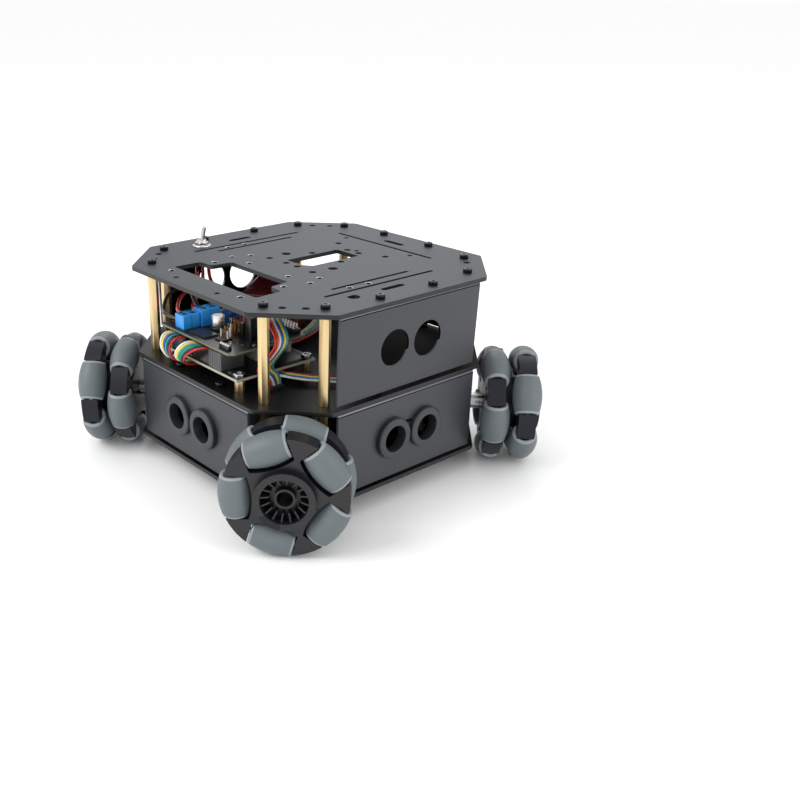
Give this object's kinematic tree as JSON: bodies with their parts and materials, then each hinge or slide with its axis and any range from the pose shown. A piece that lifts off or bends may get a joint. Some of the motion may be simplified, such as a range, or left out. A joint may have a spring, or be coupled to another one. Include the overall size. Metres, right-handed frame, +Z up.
{
  "type": "omni wheel robot platform",
  "caption": "Octagonal three-plate mobile robot chassis on four diagonal omni wheels with free-spinning barrel rollers, open electronics bay and sensor-eye side panels.",
  "frame": {"origin": "on the floor plane under the centre of the octagonal plates, where the four wheel axles cross", "axes": "+Z up; the wheel axles run along the diagonals; -Y is the side left open without an upper panel"},
  "size_m": [0.2434, 0.2436, 0.135],
  "materials": {
    "anodised_plate": "satin, fine sandblasted",
    "slate_panel": "satin",
    "grommet_rubber": "satin",
    "brass_post": "bright",
    "black_steel": "black oxide",
    "switch_case": "nickel plated",
    "lever_chrome": "polished",
    "gearbox_steel": "satin",
    "bracket_steel": "satin",
    "battery_wrap": "shrink wrap",
    "board_green": "solder mask",
    "board_blue": "solder mask",
    "wire_insulation": "smooth",
    "hub_plastic": "satin moulded",
    "roller_rubber": "matte"
  },
  "bodies": {
    "chassis": {"top_plate": "anodised_plate", "mid_plate": "anodised_plate", "bottom_plate": "anodised_plate", "upper_side_panels": "slate_panel", "lower_side_panels": "slate_panel", "panel_grommets": "grommet_rubber", "tier_posts": "brass_post", "plate_screws": "black_steel", "toggle_switch": "switch_case", "gear_motors": "gearbox_steel", "motor_brackets": "bracket_steel", "battery_pack": "battery_wrap", "control_board": "board_green", "driver_shield": "board_blue", "hookup_wires": "wire_insulation"},
    "toggle": {"toggle_lever": "lever_chrome"},
    "wheel_front": {"hub_front": "hub_plastic"},
    "roller_front_outer1": {"roller_front_outer1": "roller_rubber"},
    "roller_front_outer2": {"roller_front_outer2": "roller_rubber"},
    "roller_front_outer3": {"roller_front_outer3": "roller_rubber"},
    "roller_front_outer4": {"roller_front_outer4": "roller_rubber"},
    "roller_front_outer5": {"roller_front_outer5": "roller_rubber"},
    "roller_front_inner1": {"roller_front_inner1": "roller_rubber"},
    "roller_front_inner2": {"roller_front_inner2": "roller_rubber"},
    "roller_front_inner3": {"roller_front_inner3": "roller_rubber"},
    "roller_front_inner4": {"roller_front_inner4": "roller_rubber"},
    "roller_front_inner5": {"roller_front_inner5": "roller_rubber"},
    "wheel_right": {"hub_right": "hub_plastic"},
    "roller_right_outer1": {"roller_right_outer1": "roller_rubber"},
    "roller_right_outer2": {"roller_right_outer2": "roller_rubber"},
    "roller_right_outer3": {"roller_right_outer3": "roller_rubber"},
    "roller_right_outer4": {"roller_right_outer4": "roller_rubber"},
    "roller_right_outer5": {"roller_right_outer5": "roller_rubber"},
    "roller_right_inner1": {"roller_right_inner1": "roller_rubber"},
    "roller_right_inner2": {"roller_right_inner2": "roller_rubber"},
    "roller_right_inner3": {"roller_right_inner3": "roller_rubber"},
    "roller_right_inner4": {"roller_right_inner4": "roller_rubber"},
    "roller_right_inner5": {"roller_right_inner5": "roller_rubber"},
    "wheel_rear": {"hub_rear": "hub_plastic"},
    "roller_rear_outer1": {"roller_rear_outer1": "roller_rubber"},
    "roller_rear_outer2": {"roller_rear_outer2": "roller_rubber"},
    "roller_rear_outer3": {"roller_rear_outer3": "roller_rubber"},
    "roller_rear_outer4": {"roller_rear_outer4": "roller_rubber"},
    "roller_rear_outer5": {"roller_rear_outer5": "roller_rubber"},
    "roller_rear_inner1": {"roller_rear_inner1": "roller_rubber"},
    "roller_rear_inner2": {"roller_rear_inner2": "roller_rubber"},
    "roller_rear_inner3": {"roller_rear_inner3": "roller_rubber"},
    "roller_rear_inner4": {"roller_rear_inner4": "roller_rubber"},
    "roller_rear_inner5": {"roller_rear_inner5": "roller_rubber"},
    "wheel_left": {"hub_left": "hub_plastic"},
    "roller_left_outer1": {"roller_left_outer1": "roller_rubber"},
    "roller_left_outer2": {"roller_left_outer2": "roller_rubber"},
    "roller_left_outer3": {"roller_left_outer3": "roller_rubber"},
    "roller_left_outer4": {"roller_left_outer4": "roller_rubber"},
    "roller_left_outer5": {"roller_left_outer5": "roller_rubber"},
    "roller_left_inner1": {"roller_left_inner1": "roller_rubber"},
    "roller_left_inner2": {"roller_left_inner2": "roller_rubber"},
    "roller_left_inner3": {"roller_left_inner3": "roller_rubber"},
    "roller_left_inner4": {"roller_left_inner4": "roller_rubber"},
    "roller_left_inner5": {"roller_left_inner5": "roller_rubber"}
  },
  "joints": [
    {"name": "wheel_front_spin", "type": "hinge", "parent": "chassis", "child": "wheel_front", "pos_m": [0.09419, -0.09419, 0.0354], "axis": [0.7071, -0.7071, 0], "continuous": true},
    {"name": "roller_front_outer1_spin", "type": "hinge", "parent": "wheel_front", "child": "roller_front_outer1", "pos_m": [0.10892, -0.07945, 0.05186], "axis": [-0.4382, -0.4382, 0.7848], "continuous": true},
    {"name": "roller_front_outer2_spin", "type": "hinge", "parent": "wheel_front", "child": "roller_front_outer2", "pos_m": [0.08767, -0.1007, 0.0603], "axis": [-0.6632, -0.6632, -0.3469], "continuous": true},
    {"name": "roller_front_outer3_spin", "type": "hinge", "parent": "wheel_front", "child": "roller_front_outer3", "pos_m": [0.07543, -0.11295, 0.03433], "axis": [0.0284, 0.0284, -0.9992], "continuous": true},
    {"name": "roller_front_outer4_spin", "type": "hinge", "parent": "wheel_front", "child": "roller_front_outer4", "pos_m": [0.08911, -0.09927, 0.00984], "axis": [0.6807, 0.6807, -0.2706], "continuous": true},
    {"name": "roller_front_outer5_spin", "type": "hinge", "parent": "wheel_front", "child": "roller_front_outer5", "pos_m": [0.10981, -0.07857, 0.02067], "axis": [0.3923, 0.3923, 0.832], "continuous": true},
    {"name": "roller_front_inner1_spin", "type": "hinge", "parent": "wheel_front", "child": "roller_front_inner1", "pos_m": [0.0864, -0.07624, 0.06096], "axis": [-0.6807, -0.6807, 0.2706], "continuous": true},
    {"name": "roller_front_inner2_spin", "type": "hinge", "parent": "wheel_front", "child": "roller_front_inner2", "pos_m": [0.0657, -0.09694, 0.05013], "axis": [-0.3923, -0.3923, -0.832], "continuous": true},
    {"name": "roller_front_inner3_spin", "type": "hinge", "parent": "wheel_front", "child": "roller_front_inner3", "pos_m": [0.06658, -0.09605, 0.01894], "axis": [0.4382, 0.4382, -0.7848], "continuous": true},
    {"name": "roller_front_inner4_spin", "type": "hinge", "parent": "wheel_front", "child": "roller_front_inner4", "pos_m": [0.08783, -0.0748, 0.0105], "axis": [0.6632, 0.6632, 0.3469], "continuous": true},
    {"name": "roller_front_inner5_spin", "type": "hinge", "parent": "wheel_front", "child": "roller_front_inner5", "pos_m": [0.10008, -0.06256, 0.03647], "axis": [-0.0284, -0.0284, 0.9992], "continuous": true},
    {"name": "wheel_right_spin", "type": "hinge", "parent": "chassis", "child": "wheel_right", "pos_m": [0.09419, 0.09419, 0.0354], "axis": [0.7071, 0.7071, 0], "continuous": true},
    {"name": "roller_right_outer1_spin", "type": "hinge", "parent": "wheel_right", "child": "roller_right_outer1", "pos_m": [0.07546, 0.11291, 0.03725], "axis": [0.0493, -0.0493, 0.9976], "continuous": true},
    {"name": "roller_right_outer2_spin", "type": "hinge", "parent": "wheel_right", "child": "roller_right_outer2", "pos_m": [0.08964, 0.09873, 0.06116], "axis": [0.6861, -0.6861, 0.2419], "continuous": true},
    {"name": "roller_right_outer3_spin", "type": "hinge", "parent": "wheel_right", "child": "roller_right_outer3", "pos_m": [0.11011, 0.07827, 0.04947], "axis": [0.3747, -0.3747, -0.848], "continuous": true},
    {"name": "roller_right_outer4_spin", "type": "hinge", "parent": "wheel_right", "child": "roller_right_outer4", "pos_m": [0.10857, 0.07981, 0.01833], "axis": [-0.4545, 0.4545, -0.766], "continuous": true},
    {"name": "roller_right_outer5_spin", "type": "hinge", "parent": "wheel_right", "child": "roller_right_outer5", "pos_m": [0.08715, 0.10122, 0.01078], "axis": [-0.6556, 0.6556, 0.3746], "continuous": true},
    {"name": "roller_right_inner1_spin", "type": "hinge", "parent": "wheel_right", "child": "roller_right_inner1", "pos_m": [0.06694, 0.0957, 0.05247], "axis": [0.4545, -0.4545, 0.766], "continuous": true},
    {"name": "roller_right_inner2_spin", "type": "hinge", "parent": "wheel_right", "child": "roller_right_inner2", "pos_m": [0.08835, 0.07428, 0.06002], "axis": [0.6556, -0.6556, -0.3746], "continuous": true},
    {"name": "roller_right_inner3_spin", "type": "hinge", "parent": "wheel_right", "child": "roller_right_inner3", "pos_m": [0.10005, 0.06259, 0.03355], "axis": [-0.0493, 0.0493, -0.9976], "continuous": true},
    {"name": "roller_right_inner4_spin", "type": "hinge", "parent": "wheel_right", "child": "roller_right_inner4", "pos_m": [0.08586, 0.07678, 0.00964], "axis": [-0.6861, 0.6861, -0.2419], "continuous": true},
    {"name": "roller_right_inner5_spin", "type": "hinge", "parent": "wheel_right", "child": "roller_right_inner5", "pos_m": [0.0654, 0.09724, 0.02133], "axis": [-0.3747, 0.3747, 0.848], "continuous": true},
    {"name": "wheel_rear_spin", "type": "hinge", "parent": "chassis", "child": "wheel_rear", "pos_m": [-0.09419, 0.09419, 0.0354], "axis": [-0.7071, 0.7071, 0], "continuous": true},
    {"name": "roller_rear_outer1_spin", "type": "hinge", "parent": "wheel_rear", "child": "roller_rear_outer1", "pos_m": [-0.11076, 0.07761, 0.04786], "axis": [0.332, 0.332, 0.8829], "continuous": true},
    {"name": "roller_rear_outer2_spin", "type": "hinge", "parent": "wheel_rear", "child": "roller_rear_outer2", "pos_m": [-0.09093, 0.09745, 0.06155], "axis": [0.6964, 0.6964, -0.1736], "continuous": true},
    {"name": "roller_rear_outer3_spin", "type": "hinge", "parent": "wheel_rear", "child": "roller_rear_outer3", "pos_m": [-0.0756, 0.11278, 0.03909], "axis": [0.0984, 0.0984, -0.9903], "continuous": true},
    {"name": "roller_rear_outer4_spin", "type": "hinge", "parent": "wheel_rear", "child": "roller_rear_outer4", "pos_m": [-0.08596, 0.10242, 0.01154], "axis": [-0.6355, -0.6355, -0.4384], "continuous": true},
    {"name": "roller_rear_outer5_spin", "type": "hinge", "parent": "wheel_rear", "child": "roller_rear_outer5", "pos_m": [-0.10769, 0.08068, 0.01696], "axis": [-0.4912, -0.4912, 0.7193], "continuous": true},
    {"name": "roller_rear_inner1_spin", "type": "hinge", "parent": "wheel_rear", "child": "roller_rear_inner1", "pos_m": [-0.08955, 0.07309, 0.05926], "axis": [0.6355, 0.6355, 0.4384], "continuous": true},
    {"name": "roller_rear_inner2_spin", "type": "hinge", "parent": "wheel_rear", "child": "roller_rear_inner2", "pos_m": [-0.06781, 0.09482, 0.05384], "axis": [0.4912, 0.4912, -0.7193], "continuous": true},
    {"name": "roller_rear_inner3_spin", "type": "hinge", "parent": "wheel_rear", "child": "roller_rear_inner3", "pos_m": [-0.06474, 0.09789, 0.02294], "axis": [-0.332, -0.332, -0.8829], "continuous": true},
    {"name": "roller_rear_inner4_spin", "type": "hinge", "parent": "wheel_rear", "child": "roller_rear_inner4", "pos_m": [-0.08458, 0.07806, 0.00925], "axis": [-0.6964, -0.6964, 0.1736], "continuous": true},
    {"name": "roller_rear_inner5_spin", "type": "hinge", "parent": "wheel_rear", "child": "roller_rear_inner5", "pos_m": [-0.09991, 0.06273, 0.0317], "axis": [-0.0984, -0.0984, 0.9903], "continuous": true},
    {"name": "wheel_left_spin", "type": "hinge", "parent": "chassis", "child": "wheel_left", "pos_m": [-0.09419, -0.09419, 0.0354], "axis": [-0.7071, -0.7071, 0], "continuous": true},
    {"name": "roller_left_outer1_spin", "type": "hinge", "parent": "wheel_left", "child": "roller_left_outer1", "pos_m": [-0.07761, -0.11076, 0.04786], "axis": [-0.332, 0.332, 0.8829], "continuous": true},
    {"name": "roller_left_outer2_spin", "type": "hinge", "parent": "wheel_left", "child": "roller_left_outer2", "pos_m": [-0.09745, -0.09093, 0.06155], "axis": [-0.6964, 0.6964, -0.1736], "continuous": true},
    {"name": "roller_left_outer3_spin", "type": "hinge", "parent": "wheel_left", "child": "roller_left_outer3", "pos_m": [-0.11278, -0.0756, 0.03909], "axis": [-0.0984, 0.0984, -0.9903], "continuous": true},
    {"name": "roller_left_outer4_spin", "type": "hinge", "parent": "wheel_left", "child": "roller_left_outer4", "pos_m": [-0.10242, -0.08596, 0.01154], "axis": [0.6355, -0.6355, -0.4384], "continuous": true},
    {"name": "roller_left_outer5_spin", "type": "hinge", "parent": "wheel_left", "child": "roller_left_outer5", "pos_m": [-0.08068, -0.10769, 0.01696], "axis": [0.4912, -0.4912, 0.7193], "continuous": true},
    {"name": "roller_left_inner1_spin", "type": "hinge", "parent": "wheel_left", "child": "roller_left_inner1", "pos_m": [-0.07309, -0.08955, 0.05926], "axis": [-0.6355, 0.6355, 0.4384], "continuous": true},
    {"name": "roller_left_inner2_spin", "type": "hinge", "parent": "wheel_left", "child": "roller_left_inner2", "pos_m": [-0.09482, -0.06781, 0.05384], "axis": [-0.4912, 0.4912, -0.7193], "continuous": true},
    {"name": "roller_left_inner3_spin", "type": "hinge", "parent": "wheel_left", "child": "roller_left_inner3", "pos_m": [-0.09789, -0.06474, 0.02294], "axis": [0.332, -0.332, -0.8829], "continuous": true},
    {"name": "roller_left_inner4_spin", "type": "hinge", "parent": "wheel_left", "child": "roller_left_inner4", "pos_m": [-0.07806, -0.08458, 0.00925], "axis": [0.6964, -0.6964, 0.1736], "continuous": true},
    {"name": "roller_left_inner5_spin", "type": "hinge", "parent": "wheel_left", "child": "roller_left_inner5", "pos_m": [-0.06273, -0.09991, 0.0317], "axis": [0.0984, -0.0984, 0.9903], "continuous": true},
    {"name": "toggle_throw", "type": "hinge", "parent": "chassis", "child": "toggle", "pos_m": [-0.0714, -0.0298, 0.1232], "axis": [1, 0, 0], "range_deg": [0, 22]}
  ]
}
